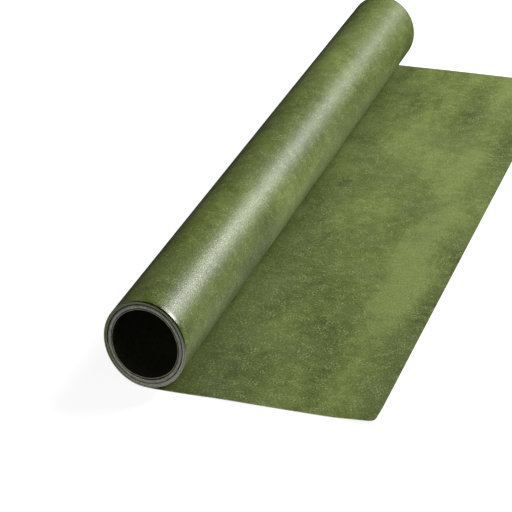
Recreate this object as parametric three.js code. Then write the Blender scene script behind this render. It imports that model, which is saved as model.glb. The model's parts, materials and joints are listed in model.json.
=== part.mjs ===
// A roll of double-faced sign vinyl lying on its side, with its free end pulled out flat.
// Units are millimetres. +Y runs along the roll, +X is the way the tail lies, +Z is up.
// The origin is the centre of the bottom face of the bounding box.

import * as THREE from 'three';
import { mergeVertices } from 'three/addons/utils/BufferGeometryUtils.js';

// ---- driving dimensions -------------------------------------------------------------------

const WEB_WIDTH = 914.4;          // a 36 inch web
const WEB_THICKNESS = 0.8;
const CORE_BORE_RADIUS = 38.1;    // the standard 3 inch core
const ROLL_RADIUS = 47.0;         // over the outermost turn, below the roll's axis
const TAIL_LENGTH = 241;          // flat sheet past the line where the roll stands on it

const LINER_PLY = 0.5;            // the core's plies, from the bore outwards
const BODY_PLIES = 2.7;
const FINISH_PLY = 0.5;
const PLY_GAP = 0.1;

const TAPE_THICKNESS = 0.2;
const TAPE_WIDTH = 25;
const TAPE_END_MARGIN = 12;       // the tape stops this far short of the core's ends

const TURN_GAP = 0.1;             // air between one tight turn and the next
const LOOSE_BULGE = 1.2;          // how far the outermost turn has sprung out, at its most
const LOOSE_FROM = 0.45;          // where along the outermost turn the bulge starts and ends
const LOOSE_TO = 0.8;
const CUT_GAP = 0.3;              // between one piece of the sheet and the next

const STRIP_COUNT = 22;           // rigid strips that stand in for the flexible tail
const CORNER_RADIUS = 8;          // the two corners of the free end
const SEGMENTS_PER_TURN = 72;
const SEGMENTS_PER_CORNER = 6;

// ---- dimensions that follow ---------------------------------------------------------------

const CORE_LINER_OUTER = CORE_BORE_RADIUS + LINER_PLY;
const CORE_BODY_INNER = CORE_LINER_OUTER + PLY_GAP;
const CORE_BODY_OUTER = CORE_BODY_INNER + BODY_PLIES;
const CORE_FINISH_INNER = CORE_BODY_OUTER + PLY_GAP;
const CORE_FINISH_OUTER = CORE_FINISH_INNER + FINISH_PLY;
const TAPE_INNER = CORE_FINISH_OUTER + PLY_GAP;
const WEB_START_RADIUS = TAPE_INNER + TAPE_THICKNESS + PLY_GAP;

const TURN_PITCH = WEB_THICKNESS + TURN_GAP;
const OUTER_TURN_START = ROLL_RADIUS - WEB_THICKNESS;            // radius of its inner face
const OUTER_TURN_END = OUTER_TURN_START - TURN_PITCH;
const TIGHT_TURNS = (OUTER_TURN_END - WEB_START_RADIUS) / TURN_PITCH;

const STRIP_PITCH = TAIL_LENGTH / (STRIP_COUNT + 0.5);           // the roll keeps the first half pitch
const STRIP_LENGTH = STRIP_PITCH - CUT_GAP;
const AXIS_X = (ROLL_RADIUS - TAIL_LENGTH) / 2;                  // puts the origin mid-box
const AXIS_Z = ROLL_RADIUS;
const BOTTOM = -Math.PI / 2;                                     // angle of the standing line

const COLOURS = {
  sheet: { color: 0x6c7a40, roughness: 0.45, metalness: 0 },
  paper: { color: 0x6f6d66, roughness: 0.9, metalness: 0 },
  liner: { color: 0x2b2b26, roughness: 0.85, metalness: 0 },
  tape: { color: 0xc9bd96, roughness: 0.5, metalness: 0 },
};

// ---- helpers ------------------------------------------------------------------------------

// Extrudes an outline drawn in X and Z along +Y, over the given span.
function extrudeAlongY(outline, yStart, yEnd) {
  const geometry = new THREE.ExtrudeGeometry(outline, { depth: yEnd - yStart, bevelEnabled: false });
  geometry.rotateX(Math.PI / 2);          // the outline's +Y becomes +Z and the depth becomes -Y
  geometry.translate(0, yEnd, 0);
  geometry.deleteAttribute('normal');
  geometry.deleteAttribute('uv');
  return mergeVertices(geometry, 1e-4);
}

function makePiece(name, geometry, look) {
  geometry.computeVertexNormals();
  const mesh = new THREE.Mesh(geometry, new THREE.MeshStandardMaterial(COLOURS[look]));
  mesh.name = name;
  return mesh;
}

function pointAt(radius, angle) {
  return new THREE.Vector2(radius * Math.cos(angle), radius * Math.sin(angle));
}

// An outline between two curves that run the same way: out along one and back along the other.
function bandOutline(outerPoints, innerPoints) {
  return new THREE.Shape([...outerPoints, ...innerPoints.slice().reverse()]);
}

function arcPoints(radius, fromAngle, toAngle, segments) {
  const points = [];
  for (let i = 0; i <= segments; i++) {
    points.push(pointAt(radius, fromAngle + (toAngle - fromAngle) * i / segments));
  }
  return points;
}

// ---- the core -----------------------------------------------------------------------------

function corePly(name, innerRadius, outerRadius, look) {
  const halfTurn = Math.PI;
  const ring = new THREE.Shape(arcPoints(outerRadius, -halfTurn, halfTurn, SEGMENTS_PER_TURN).slice(1));
  ring.holes.push(new THREE.Path(arcPoints(innerRadius, -halfTurn, halfTurn, SEGMENTS_PER_TURN).slice(1)));
  return makePiece(name, extrudeAlongY(ring, -WEB_WIDTH / 2, WEB_WIDTH / 2), look);
}

// Double-sided tape between the core and the sheet's inner end.
function starterTape() {
  const step = 2 * Math.PI / SEGMENTS_PER_TURN;
  const segments = Math.round(TAPE_WIDTH / (TAPE_INNER * step));
  const from = sheetInnerEndAngle();
  const to = from + segments * step;
  const outline = bandOutline(
    arcPoints(TAPE_INNER + TAPE_THICKNESS, from, to, segments),
    arcPoints(TAPE_INNER, from, to, segments),
  );
  const half = WEB_WIDTH / 2 - TAPE_END_MARGIN;
  return makePiece('starter_tape', extrudeAlongY(outline, -half, half), 'tape');
}

// ---- the wound sheet ----------------------------------------------------------------------

// Turns are counted inwards from the standing line: the sheet goes from there up the left side,
// over the top and down the right side. Angles fall by one full turn for each turn counted.
function angleAtTurn(turn) {
  return BOTTOM - 2 * Math.PI * turn;
}

function sheetInnerEndAngle() {
  return angleAtTurn(1 + TIGHT_TURNS);
}

function looseBulge(turn) {
  if (turn <= LOOSE_FROM || turn >= LOOSE_TO) return 0;
  const along = (turn - LOOSE_FROM) / (LOOSE_TO - LOOSE_FROM);
  return LOOSE_BULGE * Math.sin(Math.PI * along) ** 2;
}

// Radius of the sheet's inner face.
function radiusAtTurn(turn) {
  return OUTER_TURN_START - TURN_PITCH * turn + looseBulge(turn);
}

function woundOutline(fromTurn, toTurn) {
  const segments = Math.max(1, Math.round((toTurn - fromTurn) * SEGMENTS_PER_TURN));
  const inner = [];
  const outer = [];
  for (let i = 0; i <= segments; i++) {
    const turn = fromTurn + (toTurn - fromTurn) * i / segments;
    inner.push(pointAt(radiusAtTurn(turn), angleAtTurn(turn)));
    outer.push(pointAt(radiusAtTurn(turn) + WEB_THICKNESS, angleAtTurn(turn)));
  }
  return { inner, outer };
}

// The outermost turn, with the short flat root of the tail that the first strip hinges on.
function outerTurn() {
  const rootEnd = STRIP_LENGTH / 2;
  const { inner, outer } = woundOutline(0, 1);
  outer.unshift(new THREE.Vector2(rootEnd, -ROLL_RADIUS));
  inner.unshift(new THREE.Vector2(rootEnd, -OUTER_TURN_START));
  const geometry = extrudeAlongY(bandOutline(outer, inner), -WEB_WIDTH / 2, WEB_WIDTH / 2);
  return makePiece('outer_turn', geometry, 'sheet');
}

// The tight turns under it, down to the inner end that is taped to the core.
function tightTurns() {
  const cut = CUT_GAP / (2 * Math.PI * ROLL_RADIUS);
  const { inner, outer } = woundOutline(1 + cut, 1 + TIGHT_TURNS);
  const geometry = extrudeAlongY(bandOutline(outer, inner), -WEB_WIDTH / 2, WEB_WIDTH / 2);
  return makePiece('tight_turns', geometry, 'sheet');
}

// ---- the flat tail ------------------------------------------------------------------------

// The last strip is the sheet's free end, with its two outer corners rounded.
function freeEndGeometry() {
  const x = STRIP_LENGTH / 2;
  const y = WEB_WIDTH / 2;
  const outline = new THREE.Shape();
  outline.moveTo(-x, -y);
  outline.lineTo(x - CORNER_RADIUS, -y);
  outline.absarc(x - CORNER_RADIUS, -y + CORNER_RADIUS, CORNER_RADIUS, -Math.PI / 2, 0, false);
  outline.lineTo(x, y - CORNER_RADIUS);
  outline.absarc(x - CORNER_RADIUS, y - CORNER_RADIUS, CORNER_RADIUS, 0, Math.PI / 2, false);
  outline.lineTo(-x, y);
  const options = { depth: WEB_THICKNESS, bevelEnabled: false, curveSegments: SEGMENTS_PER_CORNER };
  const geometry = new THREE.ExtrudeGeometry(outline, options);
  geometry.translate(0, 0, -WEB_THICKNESS / 2);
  return geometry;
}

function tailStrip(index) {
  const isFreeEnd = index === STRIP_COUNT;
  const geometry = isFreeEnd
    ? freeEndGeometry()
    : new THREE.BoxGeometry(STRIP_LENGTH, WEB_WIDTH, WEB_THICKNESS);
  const strip = makePiece(`tail_strip_${String(index).padStart(2, '0')}`, geometry, 'sheet');
  strip.position.set(AXIS_X + index * STRIP_PITCH, 0, WEB_THICKNESS / 2);
  return strip;
}

// ---- the object ---------------------------------------------------------------------------

const roll = new THREE.Group();
roll.position.set(AXIS_X, 0, AXIS_Z);
roll.add(
  corePly('core_liner_ply', CORE_BORE_RADIUS, CORE_LINER_OUTER, 'liner'),
  corePly('core_body', CORE_BODY_INNER, CORE_BODY_OUTER, 'paper'),
  corePly('core_finish_ply', CORE_FINISH_INNER, CORE_FINISH_OUTER, 'paper'),
  starterTape(),
  tightTurns(),
  outerTurn(),
);

const vinylRoll = new THREE.Group();
vinylRoll.add(roll);
for (let index = 1; index <= STRIP_COUNT; index++) {
  vinylRoll.add(tailStrip(index));
}

export default vinylRoll;
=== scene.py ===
"""The looks of a roll of double-faced sign vinyl with its free end pulled out flat.

Everything is in metres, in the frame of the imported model: +Y runs along the roll away from the
near end, +X is the way the tail lies, +Z is up. Along the sheet, `run` is the distance from the
line where the roll stands on it: positive on the flat tail, negative into the roll. `along` goes
from 0 at the sheet's near edge to 1 at its far edge, and `through` from 0 at the face that lies on
the floor to 1 at the face that is up on the tail, which is the inner face in the roll.
"""
import json
import math

import bpy
import numpy as np
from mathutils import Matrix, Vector

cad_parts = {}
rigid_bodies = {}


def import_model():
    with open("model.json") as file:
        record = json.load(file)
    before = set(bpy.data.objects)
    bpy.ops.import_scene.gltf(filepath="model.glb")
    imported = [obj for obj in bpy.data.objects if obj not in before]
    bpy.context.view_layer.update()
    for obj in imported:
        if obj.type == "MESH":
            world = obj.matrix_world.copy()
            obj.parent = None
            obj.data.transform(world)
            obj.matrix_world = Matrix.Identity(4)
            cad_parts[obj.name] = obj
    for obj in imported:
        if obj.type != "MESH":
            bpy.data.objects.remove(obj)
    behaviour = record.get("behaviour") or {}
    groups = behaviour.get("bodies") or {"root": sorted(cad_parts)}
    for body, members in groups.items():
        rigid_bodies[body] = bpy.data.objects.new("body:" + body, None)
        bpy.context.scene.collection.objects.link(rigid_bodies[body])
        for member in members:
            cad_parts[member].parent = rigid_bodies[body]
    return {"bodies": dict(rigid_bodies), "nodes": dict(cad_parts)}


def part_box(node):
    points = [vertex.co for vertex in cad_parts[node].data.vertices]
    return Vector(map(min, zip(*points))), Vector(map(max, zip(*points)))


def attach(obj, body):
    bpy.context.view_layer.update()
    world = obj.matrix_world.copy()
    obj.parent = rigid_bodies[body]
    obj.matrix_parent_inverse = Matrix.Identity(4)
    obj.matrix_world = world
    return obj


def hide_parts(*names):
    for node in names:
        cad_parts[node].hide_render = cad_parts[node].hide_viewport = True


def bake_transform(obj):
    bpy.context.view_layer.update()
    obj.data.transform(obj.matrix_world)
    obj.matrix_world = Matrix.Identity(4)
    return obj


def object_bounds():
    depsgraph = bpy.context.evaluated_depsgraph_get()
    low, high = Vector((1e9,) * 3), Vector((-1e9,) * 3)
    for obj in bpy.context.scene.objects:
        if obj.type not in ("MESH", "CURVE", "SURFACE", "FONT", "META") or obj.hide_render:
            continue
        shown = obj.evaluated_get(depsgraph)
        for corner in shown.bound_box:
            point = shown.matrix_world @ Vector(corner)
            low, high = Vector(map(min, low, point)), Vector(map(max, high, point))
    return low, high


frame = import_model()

cad_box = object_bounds()

# ---- sizes taken from the frame ---------------------------------------------------------------


def middle_x(node):
    low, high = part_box(node)
    return (low.x + high.x) / 2


def outer_radius(node):
    low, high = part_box(node)
    return (high.x - low.x) / 2


STRIPS = sorted(name for name in frame["nodes"] if name.startswith("tail_strip_"))
BODIES = ["roll"] + sorted(name for name in frame["bodies"] if name.startswith("tail_"))

core_low, core_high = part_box("core_body")
strip_low, strip_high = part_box(STRIPS[0])
AXIS_X = middle_x("core_body")
AXIS_Z = (core_low.z + core_high.z) / 2
NEAR_Y, FAR_Y = core_low.y, core_high.y
WIDTH = FAR_Y - NEAR_Y
ROLL_RADIUS = AXIS_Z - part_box("outer_turn")[0].z
SHEET = strip_high.z - strip_low.z
PITCH = middle_x(STRIPS[1]) - middle_x(STRIPS[0])
TAIL_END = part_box(STRIPS[-1])[1].x - AXIS_X

LINER_OUTER = outer_radius("core_liner_ply")
BODY_OUTER = outer_radius("core_body")
FINISH_OUTER = outer_radius("core_finish_ply")

# ---- sizes that only the looks have -----------------------------------------------------------

PLY_GAP = 0.0001               # air between two plies of the core
LINER_PLY = 0.0005             # thickness of the core's innermost ply
TURN_GAP = 0.0001              # air between two tight turns
UNDER_WEB = 0.0004             # the starter tape and its gaps, between the core and the sheet
LOOSE_BULGE = 0.0014           # how far the outermost turn has sprung out at its most
LOOSE_FROM, LOOSE_TO = 0.36, 0.84     # where along that turn it has sprung out
LOOSE_LEFT_FAR = 0.4           # the share of the bulge that is left at the far end
LOOSE_TURN_IN = 0.0005         # its near edge turns in again by this much
LOOSE_TURN_IN_LENGTH = 0.006   # over this length from the near end

SKEW_X, SKEW_Z = -0.0062, 0.0044      # the near end is a little out of square with the roll
TAIL_SKEW = 0.022              # the tail's edges run slightly askew, as a slope
SKEW_BLEND = 0.008             # how quickly one slope turns into the other
TELESCOPE = 0.0005             # how far neighbouring turns stand in or out of the end
TELESCOPE_PHASE = 3.9          # radians of that per turn, so that no two turns match
CORE_RECESS = 0.0003           # how far the core's ends stand back from the sheet's

EDGE_ROUND = 0.00015           # the cut edge's arris
CORNER_RADIUS = 0.008
CORNER_BAND = 0.012            # the mesh this close to each edge follows the round corner
CORNER_LIFT = 0.0022           # the near free corner curls up this much
CORNER_CURL_LENGTH = 0.05      # starting this far from the free end
CORNER_CURL_WIDTH = 0.035      # and this far from the near edge
WAVE_HEIGHT = 0.0009           # the tail lies this far off flat
WAVES_FROM, WAVES_BLEND = 0.035, 0.06     # from this run, and fully so this much further on
WAVES = [                      # share, radians per metre along the run and across it, phase
    (1.0, 31.0, 5.0, 0.0),
    (0.8, 17.0, -11.0, 1.0),
    (0.5, 8.0, 23.0, 2.0),
]

MOUTH_BURR = 0.0009            # the saw has left the liner ply standing into the bore
LINER_LIFT = 0.0011            # and low down it has come away from the core by this much more
LINER_LIFT_LENGTH = 0.05       # both fade out over this length into the bore
LINER_LIFT_ANGLE = math.radians(-76)      # from +X, so a little to the right of the bottom
LINER_LIFT_SPREAD = math.radians(50)      # to either side of that
END_PLIES = 4                  # ply grooves on each cut end of the core
PLY_RELIEF = 0.00012           # how deep they are

SEGMENTS_PER_TURN = 180
STEPS_ACROSS = 96              # mesh steps from the sheet's near edge to the far one
INNER_STEPS_ACROSS = 14        # the same where only the edges are seen
EDGE_STEPS = 7                 # mesh lines in the band along each edge
STEPS_PER_STRIP = 6
STEPS_ROUND_CORNER = 10
END_RINGS = 16                 # mesh rings on each cut end of the core
CORE_STEPS = np.concatenate([np.linspace(0.0, 0.07, 8), np.linspace(0.08, 1.0, 12)])
SHARP_ANGLE = math.radians(35) # faces that meet at more than this have a sharp edge
BOTTOM = -math.pi / 2

# ---- the sheet's shape ------------------------------------------------------------------------


def smooth(value):
    """0 to 1 with no corner at either end."""
    t = np.clip(value, 0.0, 1.0)
    return t * t * (3 - 2 * t)


def end_skew(x, z):
    """How far along Y the roll's near end stands off square, for a point given from its axis."""
    return SKEW_X * x / ROLL_RADIUS + SKEW_Z * z / ROLL_RADIUS


def tail_skew(run):
    """The same for the tail, which leaves the roll in the end's slope and soon takes its own."""
    turn_in = (TAIL_SKEW - SKEW_X / ROLL_RADIUS) * SKEW_BLEND * (1 - math.exp(-run / SKEW_BLEND))
    return -SKEW_Z + TAIL_SKEW * run - turn_in


def turn_radius(turn, along):
    """Radius of the sheet's inner face, for turns counted inwards from the standing line."""
    tight = ROLL_RADIUS - SHEET - (SHEET + TURN_GAP) * turn
    sprung = (turn - LOOSE_FROM) / (LOOSE_TO - LOOSE_FROM)
    loose = math.sin(math.pi * sprung) ** 2 if 0 < sprung < 1 else 0.0
    bulge = LOOSE_BULGE * (1 - (1 - LOOSE_LEFT_FAR) * along)
    turn_in = LOOSE_TURN_IN * np.clip(1 - along * WIDTH / LOOSE_TURN_IN_LENGTH, 0, 1) ** 2
    return tight + loose * (bulge - turn_in)


def run_at_turn(turn):
    """Length of sheet from the standing line to that turn, which is negative in the roll."""
    pitch = SHEET + TURN_GAP
    return -2 * math.pi * ((ROLL_RADIUS - SHEET / 2) * turn - pitch * turn * turn / 2)


def wound_points(turn, along, through):
    """One line of points across the wound sheet."""
    radius = turn_radius(turn, along) + SHEET * (1 - through)
    angle = BOTTOM - 2 * math.pi * turn
    x, z = radius * math.cos(angle), radius * math.sin(angle)
    telescoped = TELESCOPE * math.sin(TELESCOPE_PHASE * turn)
    y = NEAR_Y + along * WIDTH + end_skew(x, z) + telescoped
    return np.stack([AXIS_X + x, y, AXIS_Z + z], -1)


def lift_off_floor(run, y):
    """How far the flat tail stands off the floor: long shallow waves and one curled corner."""
    waves = sum(share * np.sin(run * lengthways + y * across + phase)
                for share, lengthways, across, phase in WAVES)
    waves = waves / sum(wave[0] for wave in WAVES)
    settled = smooth((run - WAVES_FROM) / WAVES_BLEND)
    wavy = WAVE_HEIGHT * settled * (waves + 1) / 2
    near_end = smooth((run - TAIL_END + CORNER_CURL_LENGTH) / CORNER_CURL_LENGTH)
    near_edge = smooth((CORNER_CURL_WIDTH - y) / CORNER_CURL_WIDTH)
    return wavy + CORNER_LIFT * near_end * near_edge


def corner_cut(run):
    """How far the rounded corners take the sheet's edges in."""
    past = max(CORNER_RADIUS - (TAIL_END - run), 0.0)
    return CORNER_RADIUS - math.sqrt(CORNER_RADIUS**2 - min(past, CORNER_RADIUS) ** 2)


def flat_points(run, along, through):
    """One line of points across the flat tail."""
    from_near, from_far = along * WIDTH, (1 - along) * WIDTH
    taken_in = corner_cut(run)
    y = from_near + taken_in * np.clip(1 - from_near / CORNER_BAND, 0, 1)
    y = y - taken_in * np.clip(1 - from_far / CORNER_BAND, 0, 1)
    z = lift_off_floor(run, y) + SHEET * through
    return np.stack([np.full_like(y, AXIS_X + run), NEAR_Y + y + tail_skew(run), z], -1)


def rows_across(steps):
    """Mesh lines across the sheet, as `along`: closest together near both edges."""
    arris, band = EDGE_ROUND / WIDTH, CORNER_BAND / WIDTH
    edge = np.linspace(arris, band, EDGE_STEPS)
    middle = np.linspace(band, 1 - band, steps)[1:-1]
    inner = np.concatenate([edge, middle, 1 - edge[::-1]])
    return np.concatenate([[0.0], inner, [1.0]])


# ---- meshes -----------------------------------------------------------------------------------


def make_object(name, points, faces, looks, face_looks, web, through):
    """A smooth-shaded mesh that carries the sheet's own coordinates for its materials."""
    mesh = bpy.data.meshes.new(name)
    mesh.from_pydata(points.tolist(), [], faces)
    for look in looks:
        mesh.materials.append(look)
    mesh.polygons.foreach_set("material_index", face_looks)
    mesh.polygons.foreach_set("use_smooth", [True] * len(faces))
    corner_points = np.empty(len(mesh.loops), np.int32)
    mesh.loops.foreach_get("vertex_index", corner_points)
    layer = mesh.uv_layers.new(name="web")
    layer.data.foreach_set("uv", web[corner_points].astype(np.float32).ravel())
    depth = mesh.attributes.new("through", "FLOAT", "POINT")
    depth.data.foreach_set("value", through.astype(np.float32))
    mesh.set_sharp_from_angle(angle=SHARP_ANGLE)
    mesh.update()
    piece = bpy.data.objects.new(name, mesh)
    bpy.context.scene.collection.objects.link(piece)
    return piece


def sheet_solid(name, stations, steps_across):
    """A length of the sheet as a closed solid.

    A station is one line of points across it: (line function, place, run, rounded).
    """
    along = rows_across(steps_across)
    lines, webs, depths = [], [], []
    arris = EDGE_ROUND / SHEET
    for line, place, run, rounded in stations:
        high = np.full_like(along, 1 - arris if rounded else 1.0)
        high[[0, -1]] = 1 - arris
        for through in (1 - high, high):
            lines.append(line(place, along, through))
            webs.append(np.stack([np.full_like(along, run), along * WIDTH], -1))
            depths.append(through)
    count, last = len(along), len(stations) - 1

    def point(station, row, side):
        return (station * 2 + side) * count + row

    faces, looks = [], []

    def quad(a, b, c, d, look):
        faces.append((a, b, c, d))
        looks.append(look)

    end = count - 1
    for i in range(last):
        j = i + 1
        for p in range(end):
            q = p + 1
            look = int(p in (0, end - 1))
            quad(point(i, p, 1), point(j, p, 1), point(j, q, 1), point(i, q, 1), look)
            quad(point(i, p, 0), point(i, q, 0), point(j, q, 0), point(j, p, 0), look)
        quad(point(i, 0, 0), point(j, 0, 0), point(j, 0, 1), point(i, 0, 1), 1)
        quad(point(i, end, 0), point(i, end, 1), point(j, end, 1), point(j, end, 0), 1)
    for p in range(end):
        q = p + 1
        quad(point(0, p, 0), point(0, p, 1), point(0, q, 1), point(0, q, 0), 1)
        quad(point(last, p, 0), point(last, q, 0), point(last, q, 1), point(last, p, 1), 1)
    return make_object(
        name,
        np.concatenate(lines),
        faces,
        [vinyl_look, edge_look],
        looks,
        np.concatenate(webs),
        np.concatenate(depths),
    )


def tube_solid(name, inner, outer, recess, look, end_look, lift=None):
    """A ply of the core as a closed tube, whose ends show the plies it was wound from."""
    around = np.linspace(-math.pi, math.pi, SEGMENTS_PER_TURN, endpoint=False)
    depths = np.linspace(0.0, 1.0, END_RINGS + 1)
    profile = [(share, 1.0, 0) for share in CORE_STEPS[:-1]]
    profile += [(1.0, depth, 1) for depth in depths[:0:-1]]
    profile += [(share, 0.0, 0) for share in CORE_STEPS[:0:-1]]
    profile += [(0.0, depth, -1) for depth in depths[:-1]]
    points, webs, through = [], [], []
    for share, depth, end in profile:
        radius = np.full_like(around, inner + (outer - inner) * depth)
        if lift:
            radius = radius - lift(around, share * WIDTH)
        x, z = radius * np.cos(around), radius * np.sin(around)
        groove = end * PLY_RELIEF * math.sin(2 * math.pi * END_PLIES * depth) ** 2
        length = WIDTH - 2 * recess
        y = NEAR_Y + recess + length * share + end_skew(x, z) * (1 - share) - groove
        points.append(np.stack([AXIS_X + x, y, AXIS_Z + z], -1))
        webs.append(np.stack([around / (2 * math.pi), np.full_like(around, share * WIDTH)], -1))
        through.append(np.full_like(around, depth))
    count, ring = len(profile), SEGMENTS_PER_TURN
    faces = [
        (
            i * ring + j,
            (i + 1) % count * ring + j,
            (i + 1) % count * ring + (j + 1) % ring,
            i * ring + (j + 1) % ring,
        )
        for i in range(count)
        for j in range(ring)
    ]
    on_end = [end != 0 for _, _, end in profile]
    return make_object(
        name,
        np.concatenate(points),
        faces,
        [look, end_look],
        np.repeat(on_end, ring).astype(int).tolist(),
        np.concatenate(webs),
        np.concatenate(through),
    )


# ---- materials --------------------------------------------------------------------------------

MIX_COLOUR_A, MIX_COLOUR_B, MIX_COLOUR_OUT = 6, 7, 2     # the Mix node's sockets for colours


class Look:
    """One material's node graph, written as short calls. A value is a number, colour or socket."""

    def __init__(self, name):
        self.material = bpy.data.materials.new(name)
        self.material.use_nodes = True
        self.tree = self.material.node_tree
        self.shader = self.tree.nodes["Principled BSDF"]

    def add(self, kind, inputs=None, **settings):
        node = self.tree.nodes.new("ShaderNode" + kind)
        for key, value in settings.items():
            setattr(node, key, value)
        for key, value in (inputs or {}).items():
            self.put(node.inputs[key], value)
        return node

    def put(self, socket, value):
        if isinstance(value, bpy.types.NodeSocket):
            self.tree.links.new(value, socket)
        else:
            socket.default_value = value

    def web(self):
        """The sheet's own coordinates, in metres along it and across it."""
        return self.add("UVMap", uv_map="web").outputs["UV"]

    def depth(self):
        """0 to 1 through the sheet or the ply."""
        return self.add("Attribute", attribute_name="through").outputs["Fac"]

    def place(self):
        return self.add("TexCoord").outputs["Object"]

    def stretched(self, vector, scale, shift=(0.0, 0.0, 0.0)):
        inputs = {"Vector": vector, "Scale": scale, "Location": shift}
        return self.add("Mapping", inputs).outputs["Vector"]

    def shifted(self, vector, x, y):
        return self.stretched(vector, (1.0, 1.0, 1.0), (x, y, 0.0))

    def noise(self, vector, scale, detail=2.0, roughness=0.5, distortion=0.0):
        inputs = {"Vector": vector, "Scale": scale, "Detail": detail, "Roughness": roughness}
        inputs["Distortion"] = distortion
        return self.add("TexNoise", inputs).outputs["Fac"]

    def cells(self, vector, scale):
        inputs = {"Vector": vector, "Scale": scale}
        return self.add("TexVoronoi", inputs, feature="SMOOTH_F1").outputs["Distance"]

    def span(self, value, low, high, to_low=0.0, to_high=1.0):
        """Smoothly maps low..high to to_low..to_high."""
        inputs = {"Value": value, "From Min": low, "From Max": high}
        inputs.update({"To Min": to_low, "To Max": to_high})
        return self.add("MapRange", inputs, interpolation_type="SMOOTHSTEP").outputs["Result"]

    def calc(self, operation, a, b=0.0):
        node = self.add("Math", operation=operation)
        self.put(node.inputs[0], a)
        self.put(node.inputs[1], b)
        return node.outputs["Value"]

    def times(self, a, b):
        return self.calc("MULTIPLY", a, b)

    def plus(self, a, b):
        return self.calc("ADD", a, b)

    def minus(self, a, b):
        return self.calc("SUBTRACT", a, b)

    def weighted(self, patterns):
        """The sum of the patterns, each times its share."""
        parts = [self.times(pattern, share) for pattern, share in patterns]
        total = parts[0]
        for part in parts[1:]:
            total = self.plus(total, part)
        return total

    def apart(self, a, b):
        """How far a and b are apart."""
        return self.calc("ABSOLUTE", self.minus(a, b))

    def mix(self, share, a, b):
        node = self.add("Mix", data_type="RGBA")
        self.put(node.inputs["Factor"], share)
        self.put(node.inputs[MIX_COLOUR_A], a)
        self.put(node.inputs[MIX_COLOUR_B], b)
        return node.outputs[MIX_COLOUR_OUT]

    def ramp(self, value, stops):
        node = self.add("ValToRGB", {"Fac": value})
        elements = node.color_ramp.elements
        while len(elements) < len(stops):
            elements.new(1.0)
        for element, (place, colour) in zip(elements, stops):
            element.position = place
            element.color = colour
        return node.outputs["Color"]

    def finish(self, colour, roughness, height, depth_m, gloss):
        self.put(self.shader.inputs["Base Color"], colour)
        self.put(self.shader.inputs["Roughness"], roughness)
        self.shader.inputs["Specular IOR Level"].default_value = gloss
        bump = self.add("Bump", {"Height": height, "Strength": 1.0, "Distance": depth_m})
        self.put(self.shader.inputs["Normal"], bump.outputs["Normal"])
        return self.material


def rgb(red, green, blue):
    return (red, green, blue, 1.0)


OLIVE_DEEP_SHADE = rgb(0.062, 0.084, 0.013)
OLIVE_DARK = rgb(0.092, 0.124, 0.022)
OLIVE = rgb(0.142, 0.186, 0.036)
OLIVE_LIGHT = rgb(0.222, 0.282, 0.072)
OLIVE_GREY = rgb(0.134, 0.170, 0.050)
OLIVE_SPECK = rgb(0.325, 0.390, 0.140)
# this dark olive also colours the painted shade on the cut edges
OLIVE_VEIN_AND_SHADE = rgb(0.066, 0.094, 0.015)
# nearly black, painted on the loose turn's cut edge as the shade in the gap under it
LOOSE_EDGE_PAINTED_SHADE = rgb(0.005, 0.007, 0.003)

# The sheet's tone runs from about 0.26, deep, to 0.50, light. Each pair here is a length of sheet
# and how much paler or deeper it is at its most; the free end's, the foot's and the near edge's are
# painted shade.
PALE_STREAK = 0.193            # a paler streak runs the width of the tail, at this run
PALE_STREAK_WIDTH, PALE_STREAK_TONE = 0.036, 0.12
FREE_END_SHADE, FREE_END_PAINTED_SHADE = 0.022, 0.04     # painted shade: the last of the tail is painted darker
FOOT_SHADE, FOOT_PAINTED_SHADE = 0.095, 0.15             # painted shade: the sheet near the roll's foot is painted darker, for the shade in the crease
NEAR_EDGE_SHADE, NEAR_EDGE_PAINTED_SHADE = 0.30, 0.06    # and near its near edge, as painted shade for the light falling off towards that end
OUTER_FACE_TONE = 0.035                         # and on the roll's outer face

LOOSE_WEAR_AND_SHADE = 0.045             # the loose turn's lip is rubbed smoother, and its cut edge painted dark as shade, this far to either side
POLISHED_FROM, POLISHED_TO = 0.001, 0.007     # its lip is rubbed smoother this near the edge
POLISH = 0.45                  # by this share

UPPER_LEFT_PAINTED_SHADE = 0.74                    # painted shade: how much darker the cut edges are painted at the roll's upper left
UPPER_LEFT_SHADE_FROM, UPPER_LEFT_SHADE_TO = -0.7, 1.3 # fading to the lower right, by x - z from the axis in roll radii


def loose_wear_and_shade(look, run):
    """1 in the middle of the loose part of the outermost turn, falling to 0 at LOOSE_WEAR_AND_SHADE."""
    # the same mask makes the lip smoother and paints the loose turn's cut edge dark as shade
    off_middle = look.apart(run, run_at_turn((LOOSE_FROM + LOOSE_TO) / 2))
    return look.span(off_middle, LOOSE_WEAR_AND_SHADE / 2, LOOSE_WEAR_AND_SHADE, 1.0, 0.0)


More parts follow.
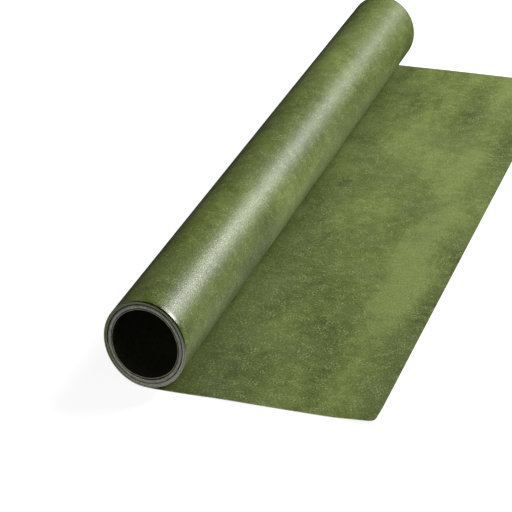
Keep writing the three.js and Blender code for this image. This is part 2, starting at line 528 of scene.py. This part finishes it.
def sheet_tone(look, web, run, across, painted_foot_shade):
    """Cloudy marbling at three scales, with the pale streak, a deeper outer face, and painted shade
    by the free end, the roll's foot and the near edge.
    """
    clouds = look.noise(
        look.stretched(web, (1.0, 0.4, 1.0)), scale=12.0, distortion=0.6
    )
    patches = look.noise(
        look.stretched(web, (1.0, 0.7, 1.0), (3.1, 1.7, 0.0)), scale=42.0, distortion=0.3
    )
    blots = look.noise(look.shifted(web, 0.7, 4.2), scale=125.0)
    tone = look.weighted([(clouds, 0.45), (patches, 0.15), (blots, 0.2)])
    off_streak = look.apart(run, PALE_STREAK)
    tone = look.plus(tone, look.span(off_streak, 0.0, PALE_STREAK_WIDTH, PALE_STREAK_TONE, 0.0))
    # painted shade: the last of the tail is painted darker towards its free end
    free_end = look.span(run, TAIL_END - FREE_END_SHADE, TAIL_END, 0.0, FREE_END_PAINTED_SHADE)
    # painted shade: the roll and the tail are painted darker towards the sheet's near edge
    near_edge = look.span(across, 0.0, NEAR_EDGE_SHADE, NEAR_EDGE_PAINTED_SHADE, 0.0)
    outer_face = look.span(look.depth(), 0.0, 1.0, OUTER_FACE_TONE, 0.0)
    # each of these lowers the tone; all but the outer face's are painted shade
    for deeper in (free_end, look.times(painted_foot_shade, FOOT_PAINTED_SHADE), near_edge, outer_face):
        tone = look.minus(tone, deeper)
    return tone


def sheet_colour(look, web, tone, painted_foot_shade):
    """Olive by tone, greyed in places, with a fine mottle and clustered pale specks."""
    # the deepest stop is reached mostly where painted shade lowers the tone
    stops = [(0.26, OLIVE_DEEP_SHADE), (0.32, OLIVE_DARK), (0.40, OLIVE), (0.50, OLIVE_LIGHT)]
    colour = look.ramp(tone, stops)
    greying = look.span(look.noise(look.shifted(web, 7.3, 2.9), scale=11.0), 0.45, 0.62)
    colour = look.mix(look.times(greying, 0.5), colour, OLIVE_GREY)
    mottle = look.noise(web, scale=420.0, detail=3.0, roughness=0.65)
    colour = look.mix(look.span(mottle, 0.5, 0.3, 0.0, 0.5), colour, OLIVE_VEIN_AND_SHADE)
    colour = look.mix(look.span(mottle, 0.5, 0.7, 0.0, 0.5), colour, OLIVE_SPECK)
    clusters = look.span(look.noise(web, scale=68.0, detail=3.0, roughness=0.6), 0.46, 0.60)
    dots = look.span(look.noise(web, scale=520.0), 0.54, 0.62)
    # the specks fade out within the painted shade by the roll's foot
    specks = look.times(look.times(clusters, dots), look.minus(1.0, painted_foot_shade))
    return look.mix(specks, colour, OLIVE_SPECK)


def with_veins(look, web, colour):
    """Faint dark veins here and there."""
    wander = look.noise(
        look.stretched(web, (1.0, 0.55, 1.0)), scale=30.0, detail=5.0, roughness=0.6, distortion=1.2
    )
    vein = look.span(look.apart(wander, 0.5), 0.0, 0.012, 1.0, 0.0)
    where = look.span(look.noise(look.shifted(web, 1.9, 5.3), scale=18.0), 0.5, 0.66)
    return look.mix(look.times(look.times(vein, where), 0.5), colour, OLIVE_VEIN_AND_SHADE)


def make_vinyl_look():
    """Satin leather-grained face, rubbed smoother at the lip of the loose turn."""
    look = Look("vinyl_face")
    web = look.web()
    place = look.add("SeparateXYZ", {"Vector": web}).outputs
    run, across = place["X"], place["Y"]
    # painted shade: the sheet is painted darker near the roll's foot, on the tail and up the roll
    painted_foot_shade = look.span(look.calc("ABSOLUTE", run), 0.0, FOOT_SHADE, 1.0, 0.0)
    tone = sheet_tone(look, web, run, across, painted_foot_shade)
    colour = with_veins(look, web, sheet_colour(look, web, tone, painted_foot_shade))

    grain = look.cells(web, scale=760.0)
    pebble = look.noise(web, scale=560.0, detail=3.0, roughness=0.6)
    height = look.plus(look.times(grain, 0.6), pebble)
    satin = look.noise(web, scale=700.0, roughness=0.6)
    roughness = look.span(satin, 0.40, 0.60, 0.30, 0.52)
    lip = look.span(across, POLISHED_FROM, POLISHED_TO, 1.0, 0.0)
    grainy = look.minus(1.0, look.times(look.times(loose_wear_and_shade(look, run), lip), POLISH))
    height = look.times(height, grainy)
    roughness = look.times(roughness, grainy)
    return look.finish(colour, roughness, height, depth_m=0.00022, gloss=0.47)


def make_edge_look():
    """The cut edge: a grey blockout layer between olive skins, painted darker as shade at the
    roll's upper left and on the loose turn.
    """
    look = Look("vinyl_cut_edge")
    web = look.web()
    depth = look.depth()
    crumbs = look.noise(
        look.stretched(web, (1.0, 6.0, 1.0)), scale=900.0, detail=3.0, roughness=0.6
    )
    middle = look.ramp(crumbs, [(0.37, rgb(0.34, 0.342, 0.28)), (0.63, rgb(0.80, 0.80, 0.69))])
    place = look.add("SeparateXYZ", {"Vector": look.place()}).outputs
    # painted shade: the cut edges are painted darker towards the roll's upper left and lighter
    # towards its lower right
    low_right = look.minus(look.minus(place["X"], AXIS_X), look.minus(place["Z"], AXIS_Z))
    upper_left_shade = look.span(low_right, UPPER_LEFT_SHADE_FROM * ROLL_RADIUS, UPPER_LEFT_SHADE_TO * ROLL_RADIUS, UPPER_LEFT_PAINTED_SHADE, 0.0)
    middle = look.mix(upper_left_shade, middle, OLIVE_VEIN_AND_SHADE)
    colour = look.mix(look.span(depth, 0.20, 0.28, 1.0, 0.0), middle, OLIVE_DARK)
    colour = look.mix(look.span(depth, 0.86, 0.92), colour, OLIVE)
    run = look.add("SeparateXYZ", {"Vector": web}).outputs["X"]
    # painted shade: the loose turn's cut edge is painted nearly black, for the shade in the gap
    # under the sprung turn
    colour = look.mix(loose_wear_and_shade(look, run), colour, LOOSE_EDGE_PAINTED_SHADE)
    roughness = look.span(crumbs, 0.3, 0.7, 0.55, 0.8)
    return look.finish(colour, roughness, crumbs, depth_m=0.0001, gloss=0.3)


def make_paper_look(name, dark, light, plies):
    """Spiral-wound paperboard: ply lines and grit on its ends, helical seams on its faces."""
    look = Look(name)
    web = look.add("SeparateXYZ", {"Vector": look.web()}).outputs
    turned, away = web["X"], web["Y"]
    flat = look.add("CombineXYZ", {"X": look.times(turned, 0.25), "Y": away}).outputs["Vector"]
    fibres = look.noise(
        look.stretched(flat, (1.0, 0.35, 1.0)), scale=1100.0, detail=4.0, roughness=0.65
    )
    blotches = look.noise(flat, scale=90.0, detail=3.0, roughness=0.55)
    grit = look.noise(look.place(), scale=420.0, roughness=0.6)
    rings = look.calc("SINE", look.times(look.depth(), 2 * math.pi * plies))
    tone = look.weighted([(fibres, 0.2), (blotches, 0.05), (grit, 0.55), (rings, 0.11)])
    helix = look.calc("FRACT", look.plus(turned, look.times(away, 9.0)))
    seam = look.span(look.apart(helix, 0.5), 0.0, 0.006, 1.0, 0.0)
    colour = look.ramp(tone, [(0.25, dark), (0.6, light)])
    colour = look.mix(look.times(seam, 0.7), colour, dark)
    height = look.minus(fibres, look.times(seam, 1.5))
    roughness = look.span(fibres, 0.3, 0.7, 0.78, 0.95)
    return look.finish(colour, roughness, height, depth_m=0.00012, gloss=0.2)


def make_tape_look():
    """Pale crepe paper tape."""
    look = Look("starter_tape_crepe")
    place = look.place()
    creases = look.noise(
        look.stretched(place, (1.0, 0.12, 1.0)), scale=1400.0, detail=3.0, roughness=0.6
    )
    stains = look.noise(place, scale=60.0, detail=3.0)
    colour = look.ramp(stains, [(0.3, rgb(0.42, 0.35, 0.20)), (0.7, rgb(0.60, 0.53, 0.34))])
    roughness = look.span(creases, 0.3, 0.7, 0.5, 0.75)
    return look.finish(colour, roughness, creases, depth_m=0.0001, gloss=0.35)


vinyl_look = make_vinyl_look()
edge_look = make_edge_look()
core_look = make_paper_look(
    "core_paperboard", dark=rgb(0.18, 0.178, 0.150), light=rgb(0.48, 0.475, 0.42), plies=4
)
finish_look = make_paper_look(
    "core_outer_paper", dark=rgb(0.26, 0.26, 0.215), light=rgb(0.56, 0.55, 0.48), plies=1
)
liner_look = make_paper_look(
    "core_liner_paper", dark=rgb(0.020, 0.022, 0.012), light=rgb(0.070, 0.075, 0.038), plies=1
)
liner_end_look = make_paper_look(
    "core_liner_cut", dark=rgb(0.52, 0.52, 0.36), light=rgb(0.82, 0.82, 0.62), plies=1
)
tape_look = make_tape_look()

# ---- the core ---------------------------------------------------------------------------------


def liner_lift(around, y):
    """How far the liner ply stands into the bore near the near end, most of all low down."""
    off = (around - LINER_LIFT_ANGLE) / LINER_LIFT_SPREAD
    window = np.where(np.abs(off) < 1, np.cos(off * math.pi / 2) ** 2, 0.0)
    return (MOUTH_BURR + LINER_LIFT * window) * float(smooth(1 - y / LINER_LIFT_LENGTH))


def make_core():
    liner = tube_solid(
        "core_liner",
        LINER_OUTER - LINER_PLY,
        LINER_OUTER,
        CORE_RECESS,
        liner_look,
        liner_end_look,
        liner_lift,
    )
    wall = tube_solid(
        "core_wall", LINER_OUTER + PLY_GAP, BODY_OUTER, CORE_RECESS, core_look, core_look
    )
    finish = tube_solid(
        "core_finish", BODY_OUTER + PLY_GAP, FINISH_OUTER, 0.0, finish_look, finish_look
    )
    parts = [
        (liner, "core_liner_ply", "core_liner"),
        (wall, "core_body", "core_paper"),
        (finish, "core_finish_ply", "core_paper"),
    ]
    for piece, node, slot in parts:
        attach(piece, BODIES[0])
        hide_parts(node)
    tape = frame["nodes"]["starter_tape"]
    tape.data.materials.clear()
    tape.data.materials.append(tape_look)


# ---- the sheet --------------------------------------------------------------------------------


def make_wound(name, node, from_turn, to_turn, steps_across):
    """Part of the roll, from the deeper turn outwards."""
    steps = round((from_turn - to_turn) * SEGMENTS_PER_TURN)
    turns = np.linspace(from_turn, to_turn, steps + 1)
    stations = [(wound_points, turn, run_at_turn(turn), False) for turn in turns]
    piece = sheet_solid(name, stations, steps_across)
    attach(piece, BODIES[0])
    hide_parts(node)


def make_tail_piece(index):
    """The length of tail between one hinge's reach and the next."""
    start, hinge_end = (index - 1) * PITCH, index * PITCH
    is_free_end = index == len(STRIPS)
    runs = list(np.linspace(start, hinge_end, STEPS_PER_STRIP + 1))
    if is_free_end:
        turns = np.linspace(0.0, math.pi / 2, STEPS_ROUND_CORNER + 1)
        runs = [run for run in runs if run < TAIL_END - CORNER_RADIUS - EDGE_ROUND]
        runs += [TAIL_END - CORNER_RADIUS * (1 - math.sin(turn)) - EDGE_ROUND for turn in turns]
    stations = [(flat_points, run, run, False) for run in runs]
    if is_free_end:
        stations.append((flat_points, TAIL_END, TAIL_END, True))
    piece = sheet_solid(f"tail_{index:02d}", stations, STEPS_ACROSS)
    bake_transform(piece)
    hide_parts(STRIPS[index - 1])


def make_sheet():
    web_start = FINISH_OUTER + UNDER_WEB
    turns = (ROLL_RADIUS - SHEET - web_start) / (SHEET + TURN_GAP)
    make_wound("wound_inner_turns", "tight_turns", turns, 1.0, INNER_STEPS_ACROSS)
    make_wound("wound_outer_turn", "outer_turn", 1.0, 0.0, STEPS_ACROSS)
    for index in range(1, len(STRIPS) + 1):
        make_tail_piece(index)


# ---- floor, light and camera ------------------------------------------------------------------

FLOOR_GLOW = 0.90              # keeps the floor's shadows pale
FLOOR_HALF = 15.0
FLOOR_LEVEL = -0.0003          # just clear of the sheet's underside
WORLD_STRENGTH = 0.05
LIGHTS = [                     # name, azimuth, elevation, distance, size, power
    ("key", 144.0, 36.5, 4.0, (2.1, 1.5), 200.0),
    ("side", 85.0, 30.0, 2.0, (1.6, 1.2), 2.5),
    ("front", 0.0, 5.0, 2.0, (0.8, 0.5), 17.0),
]
AIM_X, AIM_Y = 0.224, 0.334    # what the camera looks at, as shares of the CAD box
CAMERA_AZIMUTH = math.radians(18.2)
CAMERA_ELEVATION = math.radians(27.4)
CAMERA_DISTANCE = 2.385
LENS_MM = 147.5
SENSOR_MM = 36.0


def direction(azimuth, elevation):
    """Unit vector towards a place seen at that azimuth (0 is the near end, 90 the tail's side)."""
    level = math.cos(elevation)
    return Vector((math.sin(azimuth) * level, -math.cos(azimuth) * level, math.sin(elevation)))


def make_camera():
    low, high = cad_box
    size = high - low
    aim = Vector((low.x + AIM_X * size.x, low.y + AIM_Y * size.y, low.z))
    data = bpy.data.cameras.new("camera")
    data.lens = LENS_MM
    data.sensor_width = SENSOR_MM
    camera = bpy.data.objects.new("camera", data)
    back = direction(CAMERA_AZIMUTH, CAMERA_ELEVATION)
    camera.location = aim + back * CAMERA_DISTANCE
    camera.rotation_mode = "QUATERNION"
    camera.rotation_quaternion = (-back).to_track_quat("-Z", "Y")
    bpy.context.scene.collection.objects.link(camera)
    bpy.context.scene.camera = camera


def make_light(name, azimuth, elevation, distance, size, power):
    """A soft rectangular light that faces the roll's near half. Its angles are in degrees."""
    target = Vector((AXIS_X, NEAR_Y / 2, 0.0))
    away = direction(math.radians(azimuth), math.radians(elevation))
    data = bpy.data.lights.new(name, "AREA")
    data.shape = "RECTANGLE"
    data.size, data.size_y = size
    data.energy = power
    light = bpy.data.objects.new(name, data)
    light.location = target + away * distance
    light.rotation_mode = "QUATERNION"
    light.rotation_quaternion = away.to_track_quat("Z", "Y")
    bpy.context.scene.collection.objects.link(light)


def make_floor():
    look = Look("floor_paint")
    speckle = look.noise(look.place(), scale=180.0)
    colour = look.ramp(speckle, [(0.3, rgb(0.36, 0.36, 0.36)), (0.7, rgb(0.40, 0.40, 0.40))])
    look.finish(colour, 0.9, speckle, depth_m=0.00002, gloss=0.0)
    look.shader.inputs["Emission Color"].default_value = rgb(1.0, 1.0, 1.0)
    look.shader.inputs["Emission Strength"].default_value = FLOOR_GLOW
    signs = [(-1, -1), (1, -1), (1, 1), (-1, 1)]
    corners = [(x * FLOOR_HALF, y * FLOOR_HALF, FLOOR_LEVEL) for x, y in signs]
    mesh = bpy.data.meshes.new("floor")
    mesh.from_pydata(corners, [], [(0, 1, 2, 3)])
    mesh.materials.append(look.material)
    floor = bpy.data.objects.new("floor", mesh)
    bpy.context.scene.collection.objects.link(floor)
    floor.visible_diffuse = False      # the glowing floor lights nothing
    floor.visible_glossy = False


def make_world():
    world = bpy.data.worlds.new("studio")
    bpy.context.scene.world = world
    world.use_nodes = True
    background = world.node_tree.nodes["Background"]
    background.inputs["Color"].default_value = rgb(1.0, 1.0, 1.0)
    background.inputs["Strength"].default_value = WORLD_STRENGTH


make_core()
make_sheet()
make_floor()
make_world()
for light in LIGHTS:
    make_light(*light)
make_camera()
bpy.context.scene.view_settings.view_transform = "Standard"
